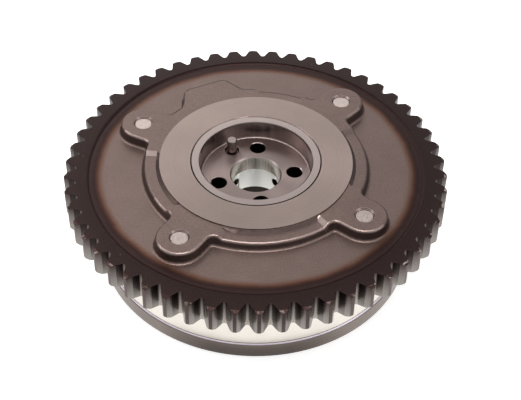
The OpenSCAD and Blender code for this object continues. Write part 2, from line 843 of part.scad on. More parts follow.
module shoe_seal_spring(i) {
    strip_back_r = hub_r + seal_t + seal_clear;
    room = shoe_slot_r - strip_back_r;
    color("silver")
        at(shoe_slot_r - leaf_t, bolt_angles[i])
            mirror([1, 0, 0])
                leaf(room - leaf_t - seal_clear);
}

sprocket_plate();
stator_housing();
front_cover();
cover_bolts();
vane_rotor();
dowel_pin();
lock_pin();
lock_spring();
lock_spring_seat();
lock_bush();
for (i = seats) {
    vane_seal(i);
    vane_seal_spring(i);
    shoe_seal(i);
    shoe_seal_spring(i);
}
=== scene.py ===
# %% [markdown]
# # A cam phaser, dressed around its CAD frame
# A cam phaser turns the camshaft a little against the timing chain. This lesson gives its solids the looks
# of the real one: sintered steel with a hardened dark rim, a turned face, a bright housing wall and a rotor
# that shows in the middle. The CAD model is loaded first and never changed: each visible piece is made from
# a copy of its solid, so its size stays true.

# %% Load the frame
import math

import bmesh
import bpy
from mathutils import Matrix, Vector


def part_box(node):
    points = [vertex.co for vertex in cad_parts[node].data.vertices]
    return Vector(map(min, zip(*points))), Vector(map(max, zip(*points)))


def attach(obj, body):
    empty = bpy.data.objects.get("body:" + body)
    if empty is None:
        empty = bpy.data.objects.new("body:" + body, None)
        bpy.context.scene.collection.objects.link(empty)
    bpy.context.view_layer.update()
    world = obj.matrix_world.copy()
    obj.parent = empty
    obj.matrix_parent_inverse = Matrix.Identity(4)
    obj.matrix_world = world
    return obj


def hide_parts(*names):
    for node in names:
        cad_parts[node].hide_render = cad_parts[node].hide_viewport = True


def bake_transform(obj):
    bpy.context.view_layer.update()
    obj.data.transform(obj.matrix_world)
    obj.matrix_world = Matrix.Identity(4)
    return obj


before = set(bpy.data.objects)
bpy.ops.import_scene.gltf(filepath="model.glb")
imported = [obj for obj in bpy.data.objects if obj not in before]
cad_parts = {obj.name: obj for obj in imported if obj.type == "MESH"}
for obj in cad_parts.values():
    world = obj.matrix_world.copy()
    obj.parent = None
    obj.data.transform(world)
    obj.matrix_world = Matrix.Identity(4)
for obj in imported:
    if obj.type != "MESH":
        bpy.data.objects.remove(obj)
scene = bpy.context.scene
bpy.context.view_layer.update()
MM = 0.001

# %% [markdown]
# ## Camera
# The photograph was matched by the teeth: their spacing gives the focal length and the height of the view.
# A camera could be aimed with a Track To constraint, but the fitted view also has a little roll, which aiming
# doesn't give. So it stands in front of the part, 43 degrees up, and three small turns centre the picture.

# %% Camera
WEB_TOP = 28.8 * MM
VIEW_HEIGHT = math.radians(43.2284)
VIEW_DISTANCE = 360.4 * MM
ROLL, YAW, PITCH = (math.radians(degrees) for degrees in (-0.8606, -0.2119, -1.4403))
SENSOR_WIDTH, LENS = 36, 86.56

stand = VIEW_DISTANCE * Vector((0, -math.cos(VIEW_HEIGHT), math.sin(VIEW_HEIGHT)))
ahead = -stand.normalized()
right = Vector((1, 0, 0))
up = right.cross(ahead)
turn = Matrix.Rotation(ROLL, 3, ahead) @ Matrix.Rotation(YAW, 3, up) @ Matrix.Rotation(PITCH, 3, right)
looking = Matrix((turn @ right, turn @ up, turn @ -ahead)).transposed()

camera_data = bpy.data.cameras.new("camera")
camera_data.sensor_width = SENSOR_WIDTH
camera_data.lens = LENS
camera = bpy.data.objects.new("camera", camera_data)
camera.matrix_world = Matrix.Translation(stand + Vector((0, 0, WEB_TOP))) @ looking.to_4x4()
scene.collection.objects.link(camera)
scene.camera = camera
print("camera at mm:", [round(v / MM, 1) for v in camera.location])

# %% [markdown]
# ## Helpers for nodes
# The tent of light, the floor and every finish are node trees. In plain Blender code, adding a node, setting
# it and linking it takes a line each. Three helpers do that in one line, so what follows reads like the
# picture in the node editor, from left to right.

# %% Add a node, a sum or a range
def put(tree, kind, inputs=None, **settings):
    """Adds a node, with its settings, and values or links for its inputs."""
    made = tree.nodes.new("ShaderNode" + kind)
    for key, value in settings.items():
        setattr(made, key, value)
    for key, value in (inputs or {}).items():
        if isinstance(value, bpy.types.NodeSocket):
            tree.links.new(value, made.inputs[key])
        else:
            made.inputs[key].default_value = value
    return made


def sums(tree, operation, first, second=0.0, third=0.0):
    """The result of one Math node."""
    return put(tree, "Math", {0: first, 1: second, 2: third}, operation=operation).outputs[0]


def spread(tree, value, low, high, start=0.0, end=1.0):
    """A value between low and high, spread from start to end and held there beyond them."""
    return put(tree, "MapRange", {"Value": value, "From Min": low, "From Max": high,
                                  "To Min": start, "To Max": end}).outputs["Result"]


print("node helpers: put, sums, spread")

# %% [markdown]
# ## White tent
# The real part was lit in a white tent. A plain white world would do for the background, but bright metal
# that mirrors white all round loses its form. So the world is white to the camera, weaker as light, and
# darker low down in reflections. A Light Path node tells these kinds of ray apart.

# %% World
WHITE = (1, 1, 1, 1)
SOFT_LIGHT = 0.55
DIM_WALL = 0.25
WALL_FOOT, WALL_TOP = 0.02, 0.34


def seen_or_mirrored(tree):
    """The Light Path node, and a value of 1 for camera, glossy and transmission rays."""
    light_path = put(tree, "LightPath")
    seen = sums(tree, "MAXIMUM", light_path.outputs["Is Camera Ray"], light_path.outputs["Is Glossy Ray"])
    return light_path, sums(tree, "MAXIMUM", seen, light_path.outputs["Is Transmission Ray"])


world = bpy.data.worlds.new("white_tent")
world.use_nodes = True
scene.world = world
scene.view_settings.view_transform = "Standard"

tree = world.node_tree
tree.nodes.clear()
light_path, shown = seen_or_mirrored(tree)
rise = put(tree, "SeparateXYZ", {0: put(tree, "TexCoord").outputs["Generated"]}).outputs["Z"]
wall = spread(tree, rise, WALL_FOOT, WALL_TOP, DIM_WALL)
brightness = sums(tree, "MAXIMUM", wall, light_path.outputs["Is Camera Ray"])
soft = put(tree, "Background", {"Color": WHITE, "Strength": SOFT_LIGHT})
white = put(tree, "Background", {"Color": WHITE, "Strength": brightness})
choice = put(tree, "MixShader", {0: shown, 1: soft.outputs[0], 2: white.outputs[0]})
put(tree, "OutputWorld", {0: choice.outputs[0]})
print("world: white where seen,", SOFT_LIGHT, "as light,", DIM_WALL, "low down in reflections")

# %% [markdown]
# ## Floor
# The part stands on white paper with hardly a shadow. A plain white plane would come out grey under soft
# lamps, so here the floor is, to the camera, part light of its own and part paper that the lamps reach: it
# stays white and keeps a faint shadow. In reflections it is white too, with two dim patches in front of the
# part that give the bright housing its soft bands. The plane has one side only, so views from below look
# through it, and it lies a hair under the part.

# %% Floor plane
FLOOR_SIZE = 3
FLOOR_DROP = 0.05 * MM

floor_mesh = bmesh.new()
bmesh.ops.create_grid(floor_mesh, x_segments=1, y_segments=1, size=FLOOR_SIZE)
floor_data = bpy.data.meshes.new("floor")
floor_mesh.to_mesh(floor_data)
floor_mesh.free()
floor = bpy.data.objects.new("floor", floor_data)
floor.location.z = -FLOOR_DROP
scene.collection.objects.link(floor)
print("floor", round(FLOOR_DROP / MM, 2), "mm under the front cover")

# %% Floor paper
PAPER = (0.66, 0.66, 0.66, 1)
OWN_LIGHT = 0.72
PATCH_MIDDLE, PATCH_SIDES = -0.97, -0.80
PATCH_DIMMING = 0.62
NEAR_PATCH = (49.5 * MM, 51.5 * MM)
FAR_PATCH = (71 * MM, 76 * MM)

floor_material = bpy.data.materials.new("white_floor")
floor_material.use_nodes = True
floor_data.materials.append(floor_material)
tree = floor_material.node_tree
tree.nodes.clear()
light_path, shown = seen_or_mirrored(tree)

where = put(tree, "TexCoord").outputs["Object"]
reach = put(tree, "VectorMath", {0: where}, operation="LENGTH").outputs["Value"]
toward = sums(tree, "DIVIDE", put(tree, "SeparateXYZ", {0: where}).outputs["Y"], reach)
in_front = spread(tree, toward, PATCH_MIDDLE, PATCH_SIDES, PATCH_DIMMING, 0.0)
near_or_far = sums(tree, "ADD", spread(tree, reach, *NEAR_PATCH, 1.0, 0.0), spread(tree, reach, *FAR_PATCH))
mirrored = sums(tree, "SUBTRACT", 1.0, sums(tree, "MULTIPLY", in_front, near_or_far))

paper = put(tree, "BsdfDiffuse", {"Color": PAPER}).outputs[0]
glow = put(tree, "Emission", {"Strength": OWN_LIGHT}).outputs[0]
lit_paper = put(tree, "AddShader", {0: paper, 1: glow}).outputs[0]
plain_white = put(tree, "Emission", {"Strength": mirrored}).outputs[0]
unseen = put(tree, "MixShader", {0: shown, 1: paper, 2: plain_white}).outputs[0]
upper = put(tree, "MixShader", {0: light_path.outputs["Is Camera Ray"], 1: unseen, 2: lit_paper}).outputs[0]
clear = put(tree, "BsdfTransparent").outputs[0]
underside = put(tree, "NewGeometry").outputs["Backfacing"]
one_sided = put(tree, "MixShader", {0: underside, 1: upper, 2: clear}).outputs[0]
put(tree, "OutputMaterial", {0: one_sided})
print("floor paper with", len(tree.nodes), "nodes")

# %% [markdown]
# ## Lamps
# In the photograph the metal shows broad, soft highlights, as from lit walls of a tent. Sun lamps would give
# hard ones, so five square area lamps stand round the part. The small sheen lamp at the back is there for
# the turned face: the grooves draw its highlight out to a light wedge.

# %% Lamps
LAMP_AIM = Vector((0, 0, 0.02))
LAMPS = {  # place in metres, size in metres, watts
    "top_lamp": ((0.0, -0.08, 0.8), 0.36, 4.4),
    "back_lamp": ((-0.1, 0.75, 0.42), 0.5, 1.2),
    "left_lamp": ((-0.62, 0.06, 0.55), 0.35, 1.6),
    "right_lamp": ((0.6, -0.25, 0.5), 0.35, 0.8),
    "sheen_lamp": ((-0.33, 0.43, 0.72), 0.14, 0.9),
}

for name, (place, size, watts) in LAMPS.items():
    data = bpy.data.lights.new(name, "AREA")
    data.shape = "SQUARE"
    data.size = size
    data.energy = watts
    lamp = bpy.data.objects.new(name, data)
    lamp.location = place
    lamp.rotation_euler = (LAMP_AIM - lamp.location).to_track_quat("-Z", "Y").to_euler()
    scene.collection.objects.link(lamp)
print("soft lamps:", list(LAMPS))

# %% [markdown]
# ## Working copies of the solids
# A CAD node is loose triangles, which shade badly and can't be bevelled. A copy is merged and its flat
# triangles are joined, so each flat face of the real piece is one face again. Then chosen sharp edges get a
# small bevel, because no real edge is knife-sharp and the bevel is what catches the light. A Bevel modifier
# could do that to all edges at once, but bmesh lets each kind of edge have a width of its own.

# %% Copy, join and soften
MERGE = 0.002 * MM
FLAT = math.radians(0.4)
BENT, SQUARE = 28, 60


def working_copy(node):
    """The node's mesh as a bmesh, merged and with its flat triangles joined."""
    bm = bmesh.new()
    bm.from_mesh(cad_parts[node].data)
    bmesh.ops.remove_doubles(bm, verts=bm.verts, dist=MERGE)
    bmesh.ops.dissolve_limit(bm, angle_limit=FLAT, use_dissolve_boundaries=False, verts=bm.verts,
                             edges=bm.edges, delimit={"NORMAL"})
    return bm


def sharp_edges(bm, test, least=BENT):
    """Edges that bend by more than an angle and whose middle passes a test on radius and height in mm."""
    found = []
    for e in bm.edges:
        if len(e.link_faces) == 2 and e.calc_face_angle() > math.radians(least):
            middle = (e.verts[0].co + e.verts[1].co) / 2 / MM
            if test(math.hypot(middle.x, middle.y), middle.z):
                found.append(e)
    return found


def soften(bm, edges, width, segments=2):
    """A small round bevel along the edges, its width in mm."""
    bmesh.ops.bevel(bm, geom=edges, offset=width * MM, offset_type="OFFSET", segments=segments, profile=0.5,
                    affect="EDGES", material=-1, clamp_overlap=True)


print("mesh helpers: working_copy, sharp_edges, soften")

# %% [markdown]
# ## From mesh to piece
# A piece stands for its solid: it rides on the same body and carries the finishes. On the real part each
# surface shows the tool that made it. Finishes picked face by face would be lost with the next CAD change,
# so a rule gives each face its finish by how far from the axis it is, how high, and which way it looks.
# Weighted normals keep flat faces flat beside their bevels, and they are made part of the mesh.

# %% Make a piece
def finish_piece(bm, name, node, body, finishes, choose_finish=None, smooth=35):
    """Turns a bmesh into a piece that stands for its CAD node, with shading that keeps flat faces flat."""
    data = bpy.data.meshes.new(name)
    bm.to_mesh(data)
    bm.free()
    for finish in finishes:
        data.materials.append(finish)
    for face in data.polygons:
        face.use_smooth = True
        if choose_finish:
            reaches = [data.vertices[i].co.xy.length / MM for i in face.vertices]
            chosen = choose_finish(min(reaches), max(reaches), face.center / MM, face.normal)
            face.material_index = finishes.index(chosen)
    data.set_sharp_from_angle(angle=math.radians(smooth))
    piece = bpy.data.objects.new(name, data)
    scene.collection.objects.link(piece)
    even = piece.modifiers.new("even_shading", "WEIGHTED_NORMAL")
    even.keep_sharp = True
    shaded = bpy.data.meshes.new_from_object(piece.evaluated_get(bpy.context.evaluated_depsgraph_get()))
    piece.modifiers.clear()
    piece.data = shaded
    shaded.name = name
    if body:
        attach(piece, body)
    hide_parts(node)
    print(name, "faces:", len(shaded.polygons))
    return piece


# %% [markdown]
# ## Shared effects
# Every visible finish here is steel or aluminium, so the marks that tools and handling leave are made once,
# as node groups, and each finish takes them in at its own size. They could be painted textures, but noise on
# Object coordinates needs no unwrapping and stays sharp. A piece sits at the origin, so the axis of the
# phaser is the Z axis of every pattern.

# %% Colours and groups
def ramp(tree, factor, stops):
    """The colour from a ramp with stops of (place, colour)."""
    made = put(tree, "ValToRGB", {"Fac": factor})
    points = made.color_ramp.elements
    while len(points) < len(stops):
        points.new(0.5)
    for point, (position, colour) in zip(points, stops):
        point.position = position
        point.color = (*colour, 1)
    return made.outputs["Color"]


def shade(tree, colour, amount):
    """A colour made lighter or darker by a value round 1."""
    return put(tree, "Mix", {"Factor": 1.0, "A": colour, "B": amount}, data_type="RGBA",
               blend_type="MULTIPLY").outputs["Result"]


def between(tree, factor, first, second, kind="RGBA"):
    """A colour, or a plain value, on the way from one to another."""
    return put(tree, "Mix", {"Factor": factor, "A": first, "B": second}, data_type=kind).outputs["Result"]


def effect(name, inputs, outputs):
    """An empty node group with named values in and out."""
    group = bpy.data.node_groups.new(name, "ShaderNodeTree")
    for socket, start in inputs.items():
        made = group.interface.new_socket(socket, in_out="INPUT", socket_type="NodeSocketFloat")
        made.default_value = start
    for socket in outputs:
        group.interface.new_socket(socket, in_out="OUTPUT", socket_type="NodeSocketFloat")
    return group, group.nodes.new("NodeGroupInput"), group.nodes.new("NodeGroupOutput")


def place_in_mm(tree):
    """Object coordinates in millimetres."""
    where = put(tree, "TexCoord").outputs["Object"]
    scaled = put(tree, "VectorMath", {0: where, "Scale": 1 / MM}, operation="SCALE")
    return scaled.outputs["Vector"]


print("colour helpers: ramp, shade, between; group helpers: effect, place_in_mm")

# %% Radius, height and angle
round_axis, _, given = effect("round_axis", {}, ["Radius", "Height", "Angle"])
x, y, z = put(round_axis, "SeparateXYZ", {0: place_in_mm(round_axis)}).outputs
flat = put(round_axis, "CombineXYZ", {0: x, 1: y})
length = put(round_axis, "VectorMath", {0: flat.outputs[0]}, operation="LENGTH")
round_axis.links.new(length.outputs["Value"], given.inputs["Radius"])
round_axis.links.new(z, given.inputs["Height"])
round_axis.links.new(sums(round_axis, "ARCTAN2", y, x), given.inputs["Angle"])
print("effect:", round_axis.name)

# %% Grain and pores of sintered metal
grain, taken, given = effect("sintered_grain", {"Size": 0.4}, ["Grain", "Pores"])
where = place_in_mm(grain)
fineness = sums(grain, "DIVIDE", 1.0, taken.outputs["Size"])
speckle = put(grain, "TexNoise", {"Vector": where, "Scale": fineness, "Detail": 3.0, "Roughness": 0.7})
pits = put(grain, "TexVoronoi", {"Vector": where, "Scale": fineness}, feature="F1")
few = put(grain, "TexNoise", {"Vector": where, "Scale": 0.9, "Detail": 2.0})
pore = spread(grain, pits.outputs["Distance"], 0.12, 0.3, 1.0, 0.0)
some = spread(grain, few.outputs["Fac"], 0.52, 0.66)
grain.links.new(speckle.outputs["Fac"], given.inputs["Grain"])
grain.links.new(sums(grain, "MULTIPLY", pore, some), given.inputs["Pores"])
print("effect:", grain.name)

# %% Tool marks
turning, taken, given = effect(
    "turning_marks", {"Coarse": 0.5, "Fine": 0.12, "Upright": 0.0, "Lengthways": 0.0}, ["Marks"])
axis = put(turning, "Group", node_tree=round_axis)
along = between(turning, taken.outputs["Upright"], axis.outputs["Radius"], axis.outputs["Height"], "FLOAT")
arc = sums(turning, "MULTIPLY", axis.outputs["Angle"], axis.outputs["Radius"])
along = between(turning, taken.outputs["Lengthways"], along, arc, "FLOAT")


def lines(spacing, detail):
    """Noise along one line, with about one mark in each spacing."""
    fineness = sums(turning, "DIVIDE", 1.0, taken.outputs[spacing])
    return put(turning, "TexNoise", {"W": along, "Scale": fineness, "Detail": detail},
               noise_dimensions="1D").outputs["Fac"]


half_fine = sums(turning, "MULTIPLY", lines("Fine", 1.0), 0.5)
turning.links.new(sums(turning, "MULTIPLY_ADD", lines("Coarse", 2.0), 0.5, half_fine), given.inputs["Marks"])
print("effect:", turning.name)

# %% Patches from handling
patches, taken, given = effect("handling_patches", {"Size": 9.0}, ["Patch"])
coarseness = sums(patches, "DIVIDE", 1.0, taken.outputs["Size"])
cloud = put(patches, "TexNoise", {"Vector": place_in_mm(patches), "Scale": coarseness, "Detail": 4.0,
                                  "Roughness": 0.55, "Distortion": 0.4})
patches.links.new(cloud.outputs["Fac"], given.inputs["Patch"])
print("effect:", patches.name)

# %% [markdown]
# ## Two metals to start from
# Nearly every surface of the phaser is either cut by a tool, which leaves fine lines, or pressed from powder,
# which leaves a grain. Each could have a tree of its own, but two functions keep them alike: they take the
# colour and roughness that the photograph shows, and add marks, patches and a very shallow relief. On turned
# faces the Anisotropic socket pulls the highlight across the grooves, as on a real lathe-cut ring.

# %% A metal, its relief and its variation
NOISE_LOW, NOISE_HIGH = 0.25, 0.75


def metal(name, roughness, metallic, sideways=0.0):
    """A Principled material with its tree and shader. Sideways is the pull of grooves on highlights."""
    made = bpy.data.materials.new(name)
    made.use_nodes = True
    shader = made.node_tree.nodes["Principled BSDF"]
    shader.inputs["Metallic"].default_value = metallic
    shader.inputs["Roughness"].default_value = roughness
    if sideways:
        shader.inputs["Anisotropic"].default_value = sideways
        grooves = put(made.node_tree, "Tangent", direction_type="RADIAL", axis="Z")
        made.node_tree.links.new(grooves.outputs[0], shader.inputs["Tangent"])
    return made, made.node_tree, shader


def relief(tree, shader, height, depth):
    """Fine relief, in millimetres, from a value that runs from 0 to 1."""
    bump = put(tree, "Bump", {"Strength": 1.0, "Distance": depth * MM, "Height": height})
    tree.links.new(bump.outputs["Normal"], shader.inputs["Normal"])


def varied(tree, noise, low, high):
    """Noise, which keeps near its middle, spread between two values."""
    return spread(tree, noise, NOISE_LOW, NOISE_HIGH, low, high)


print("metal helpers: metal, relief, varied")

# %% A turned or ground metal
def turned_metal(name, colour, roughness, coarse=0.7, fine=0.16, upright=0.0, lengthways=0.0, depth=0.004,
                 contrast=0.07, metallic=1.0, sideways=0.0):
    """A metal with tool marks in rings on a face, round a wall (upright) or along a bore (lengthways)."""
    made, tree, shader = metal(name, roughness, metallic, sideways)
    marks = put(tree, "Group", {"Coarse": coarse, "Fine": fine, "Upright": upright, "Lengthways": lengthways},
                node_tree=turning).outputs["Marks"]
    cloud = put(tree, "Group", {"Size": 6.0}, node_tree=patches).outputs["Patch"]
    tone = sums(tree, "MULTIPLY", varied(tree, marks, 1 - contrast, 1 + contrast),
                varied(tree, cloud, 0.96, 1.04))
    tree.links.new(shade(tree, (*colour, 1), tone), shader.inputs["Base Color"])
    tree.links.new(varied(tree, marks, roughness - 0.05, roughness + 0.06), shader.inputs["Roughness"])
    relief(tree, shader, marks, depth)
    return made


print("finish helper: turned_metal")

# %% A grainy metal
def grain_tone(tree, specks, cloud, contrast, pores):
    """How light each spot is, round 1: grain, patches and pores together."""
    tone = sums(tree, "MULTIPLY", varied(tree, specks.outputs["Grain"], 1 - contrast, 1 + contrast),
                varied(tree, cloud.outputs["Patch"], 0.93, 1.07))
    return sums(tree, "MULTIPLY", tone, sums(tree, "MULTIPLY_ADD", specks.outputs["Pores"], -pores, 1.0))


def grainy_metal(name, colour, roughness, size=0.4, depth=0.01, contrast=0.12, metallic=1.0, pores=0.3):
    """A metal with a fine grain and a few pores."""
    made, tree, shader = metal(name, roughness, metallic)
    specks = put(tree, "Group", {"Size": size}, node_tree=grain)
    cloud = put(tree, "Group", {"Size": 3.0}, node_tree=patches)
    tone = grain_tone(tree, specks, cloud, contrast, pores)
    tree.links.new(shade(tree, (*colour, 1), tone), shader.inputs["Base Color"])
    tree.links.new(varied(tree, specks.outputs["Grain"], roughness - 0.06, roughness + 0.08),
                   shader.inputs["Roughness"])
    relief(tree, shader, specks.outputs["Grain"], depth)
    return made


print("finish helpers: grain_tone, grainy_metal")

# %% [markdown]
# ## Sprocket plate: sintered steel
# The plate is sintered steel. Only its toothed rim was hardened, by a coil that ran round it, so the rim is
# nearly black, with a thin brown line where the heat stopped. Two materials would meet in a hard edge, so one
# ramp on the distance from the axis paints it all, and noise on that distance keeps the line from being a
# perfect circle. Beside the teeth a few knocks show bare metal.

# %% Sintered plate finish
HEAT_FROM, HEAT_TO = 42.0, 56.0
# The stops from the web to the rim are heat tint, except two: the lighter one at 0.375 and the darker one at
# 0.43, near 47.2 and 48 mm from the axis, are a painted highlight and painted shade along the step at the
# rim's inner edge.
HEAT_TINT_AND_SHADE_COLOURS = [
    (0.0, (0.117, 0.083, 0.0745)),
    (0.105, (0.115, 0.080, 0.0705)),
    (0.180, (0.089, 0.048, 0.035)),
    (0.245, (0.042, 0.0185, 0.0137)),
    (0.300, (0.019, 0.0105, 0.0095)),
    (0.375, (0.026, 0.0145, 0.013)),
    (0.430, (0.019, 0.011, 0.010)),
    (1.0, (0.023, 0.0145, 0.0135)),
]
KNOCKS_FROM, KNOCKS_FULL = 48.5, 50.5
KNOCKED_STEEL = (0.40, 0.34, 0.32, 1)


def wavering(tree, value, noise, reach):
    """A value pushed to and fro by noise."""
    return sums(tree, "MULTIPLY_ADD", sums(tree, "SUBTRACT", noise, 0.5), reach, value)


plate_metal, tree, shader = metal("sintered_plate", 0.5, 1.0)
axis = put(tree, "Group", node_tree=round_axis)
specks = put(tree, "Group", {"Size": 0.45}, node_tree=grain)
cloud = put(tree, "Group", {"Size": 7.0}, node_tree=patches)
heat_line = wavering(tree, axis.outputs["Radius"], cloud.outputs["Patch"], 1.4)
heat_line = wavering(tree, heat_line, specks.outputs["Grain"], 0.7)
burnt = ramp(tree, spread(tree, heat_line, HEAT_FROM, HEAT_TO), HEAT_TINT_AND_SHADE_COLOURS)
tone = grain_tone(tree, specks, cloud, contrast=0.24, pores=0.35)

knocks = put(tree, "Group", {"Size": 1.1}, node_tree=patches)
outer = spread(tree, axis.outputs["Radius"], KNOCKS_FROM, KNOCKS_FULL)
worn = sums(tree, "MULTIPLY", outer, spread(tree, knocks.outputs["Patch"], 0.735, 0.78))
surface = between(tree, worn, shade(tree, burnt, tone), KNOCKED_STEEL)
tree.links.new(surface, shader.inputs["Base Color"])
tree.links.new(varied(tree, specks.outputs["Grain"], 0.35, 0.48), shader.inputs["Roughness"])
relief(tree, shader, specks.outputs["Grain"], 0.02)
print("finish:", plate_metal.name, "with", len(HEAT_TINT_AND_SHADE_COLOURS), "heat colours")

# %% [markdown]
# The ring round the hub hole is turned on a lathe after sintering, so it shines in wedges. Oil fills the seam
# round the rotor. On the raised platform, the ramps and rounded edges that face the front take a painted
# highlight, and the step and the rounded edges at the back take painted shade: thin lines of light and
# dark. Lamps alone brought too little of them, so each is a finish of its own.

# %% Turned face, seam and platform finishes
face_metal = turned_metal("turned_face", (0.198, 0.155, 0.139), 0.36, sideways=0.6)
seam_metal = grainy_metal("oiled_seam", (0.03, 0.022, 0.02), 0.5)
# Painted highlight on the ramps that face the front.
ramp_highlight_metal = grainy_metal("ramps_painted_highlight", (0.27, 0.21, 0.195), 0.34, size=0.45)
# Painted shade on the outward wall of the step.
step_shade_metal = grainy_metal("step_wall_painted_shade", (0.062, 0.044, 0.04), 0.42, size=0.45)
# Painted highlight on the rounded edges that face the front.
edge_highlight_metal = grainy_metal("edges_painted_highlight", (0.20, 0.15, 0.137), 0.36, size=0.45)
# Painted shade on the rounded edges at the back.
far_edge_shade_metal = grainy_metal("far_edges_painted_shade", (0.022, 0.015, 0.014), 0.45, size=0.45)
print("finishes:", [m.name for m in (face_metal, seam_metal, ramp_highlight_metal, step_shade_metal, edge_highlight_metal, far_edge_shade_metal)])

# %% [markdown]
# ## Sprocket plate: teeth
# The teeth are pressed and then run by the chain. Each side is painted darker near the top and lighter
# towards
# the underside: painted shade and reflection, since near the top a side mirrors the dark tooth beside it, so
# that finish is a ramp on the height. The chain rubs the two narrow shoulders beside each tip bright, and a
# few tips carry nicks where bare metal shows. One function makes the four finishes, each with colours of its
# own from the underside to the top.

# %% Tooth steel with painted shade
RIM_LOW, RIM_TOP = 20.7, 29.3
HEIGHT_SHADE_STOPS = (0.0, 0.25, 0.5, 0.75, 1.0)


def height_shaded_steel(name, colours, roughness):
    """Tooth steel painted darker at the top of the rim and lighter towards its underside: painted shade and
    reflection.
    """
    made, tree, shader = metal(name, roughness, 1.0)
    axis = put(tree, "Group", node_tree=round_axis)
    specks = put(tree, "Group", {"Size": 0.35}, node_tree=grain).outputs["Grain"]
    cloud = put(tree, "Group", {"Size": 4.0}, node_tree=patches).outputs["Patch"]
    rise = spread(tree, axis.outputs["Height"], RIM_LOW, RIM_TOP)
    # Painted shade: the ramp darkens each tooth towards the top of the rim.
    height_shade = ramp(tree, wavering(tree, rise, cloud, 0.25), list(zip(HEIGHT_SHADE_STOPS, colours)))
    tree.links.new(shade(tree, height_shade, varied(tree, specks, 0.94, 1.06)), shader.inputs["Base Color"])
    tree.links.new(varied(tree, specks, roughness - 0.05, roughness + 0.07), shader.inputs["Roughness"])
    relief(tree, shader, specks, 0.0012)
    return made


tooth_metal = height_shaded_steel("tooth_sides", [
    (0.32, 0.29, 0.265), (0.185, 0.165, 0.15), (0.085, 0.07, 0.064), (0.042, 0.032, 0.030),
    (0.026, 0.018, 0.017)], 0.24)
root_metal = height_shaded_steel("tooth_roots", [
    (0.46, 0.42, 0.38), (0.41, 0.37, 0.34), (0.32, 0.28, 0.26), (0.20, 0.165, 0.15),
    (0.08, 0.058, 0.053)], 0.26)
rubbed_metal = height_shaded_steel("rubbed_shoulders", [
    (0.36, 0.33, 0.305), (0.31, 0.28, 0.26), (0.24, 0.208, 0.195), (0.155, 0.127, 0.118),
    (0.065, 0.047, 0.043)], 0.26)
tip_metal = height_shaded_steel("tooth_tips", [
    (0.17, 0.132, 0.12), (0.15, 0.115, 0.104), (0.135, 0.10, 0.09), (0.12, 0.086, 0.077),
    (0.10, 0.068, 0.06)], 0.3)
print("finishes:", [m.name for m in (tooth_metal, root_metal, rubbed_metal, tip_metal)])

# %% Nicked tips
STRUCK_FROM, STRUCK_FULL = 20.0, 36.0
TIP_SCALE, NICKED_STEEL = (0.036, 0.021, 0.019, 1), (0.42, 0.34, 0.32, 1)

nick_metal, tree, shader = metal("nicked_tips", 0.36, 1.0)
specks = put(tree, "Group", {"Size": 0.35}, node_tree=grain).outputs["Grain"]
cloud = put(tree, "Group", {"Size": 1.6}, node_tree=patches).outputs["Patch"]
across = put(tree, "SeparateXYZ", {0: place_in_mm(tree)}).outputs["X"]
struck = spread(tree, across, STRUCK_FROM, STRUCK_FULL, 0.25)
nicks = sums(tree, "MULTIPLY", spread(tree, cloud, 0.52, 0.64), struck)
bare = between(tree, nicks, TIP_SCALE, NICKED_STEEL)
tree.links.new(shade(tree, bare, varied(tree, specks, 0.8, 1.2)), shader.inputs["Base Color"])
relief(tree, shader, specks, 0.006)
print("finish:", nick_metal.name)

# %% [markdown]
# ## Sprocket plate: tapped holes
# The four bolts screw into the plate, and a turn or two of thread shows above their ends. A modelled thread
# would cost thousands of faces for a few pixels, so the wall of each hole takes a ramp that repeats with the
# height: for each turn, painted shade in the root and a painted highlight on the flank.

# %% Tapped bolt holes
THREAD_PITCH = 0.42
THREAD_LIGHT_AND_SHADE_COLOURS = [
    (0.0, (0.045, 0.028, 0.026)),
    (0.35, (0.30, 0.225, 0.215)),
    (0.6, (0.52, 0.42, 0.40)),
    (0.85, (0.10, 0.06, 0.055)),
]

thread_metal, tree, shader = metal("bolt_thread", 0.3, 1.0)
axis = put(tree, "Group", node_tree=round_axis)
turns = sums(tree, "FRACT", sums(tree, "DIVIDE", axis.outputs["Height"], THREAD_PITCH))
# Painted light and shade of the thread: a dark root and a light flank in each turn.
flanks = ramp(tree, turns, THREAD_LIGHT_AND_SHADE_COLOURS)
specks = put(tree, "Group", {"Size": 0.5}, node_tree=grain).outputs["Grain"]
tree.links.new(shade(tree, flanks, varied(tree, specks, 0.7, 1.3)), shader.inputs["Base Color"])
print("finish:", thread_metal.name, "every", THREAD_PITCH, "mm")

# %% [markdown]
# ## Sprocket plate: the piece
# The plate is one sintered block, so it is one mesh. Its tooth edges, the rim of the turned face and the edge
# of the hub hole are broken by about a tenth of a millimetre. More would eat into the narrow teeth and hide
# the dark seam round the hub. Then two rules share out the finishes, one for the teeth and one for the
# platform. Radii and heights are in millimetres, and slopes are parts of a face's normal.

# %% Plate edges
HUB_HOLE, FACE_EDGE, FACE_TOP = 18.65, 27.7, 32.4
TOOTH_EDGES_FROM = 50.5
TOOTH_BREAK, FACE_BREAK, HUB_BREAK = 0.12, 0.08, 0.05

plate_mesh = working_copy("sprocket_plate")
soften(plate_mesh, sharp_edges(plate_mesh, lambda r, z: r > TOOTH_EDGES_FROM), TOOTH_BREAK)
for radius, slack, width in ((FACE_EDGE, 0.1, FACE_BREAK), (HUB_HOLE, 0.15, HUB_BREAK)):
    edges = sharp_edges(plate_mesh, lambda r, z: abs(r - radius) < slack and z > FACE_TOP - 0.1, SQUARE)
    soften(plate_mesh, edges, width)
print("plate edges broken, faces:", len(plate_mesh.faces))

# %% Which finish a face of the teeth takes
UPRIGHT = 0.4
TEETH_FROM, ROOTS_TO, SHOULDERS_FROM = 50.9, 52.2, 52.8
TIP_CHAMFER_FROM, TIP_CHAMFER_PAST = 53.2, 54.2


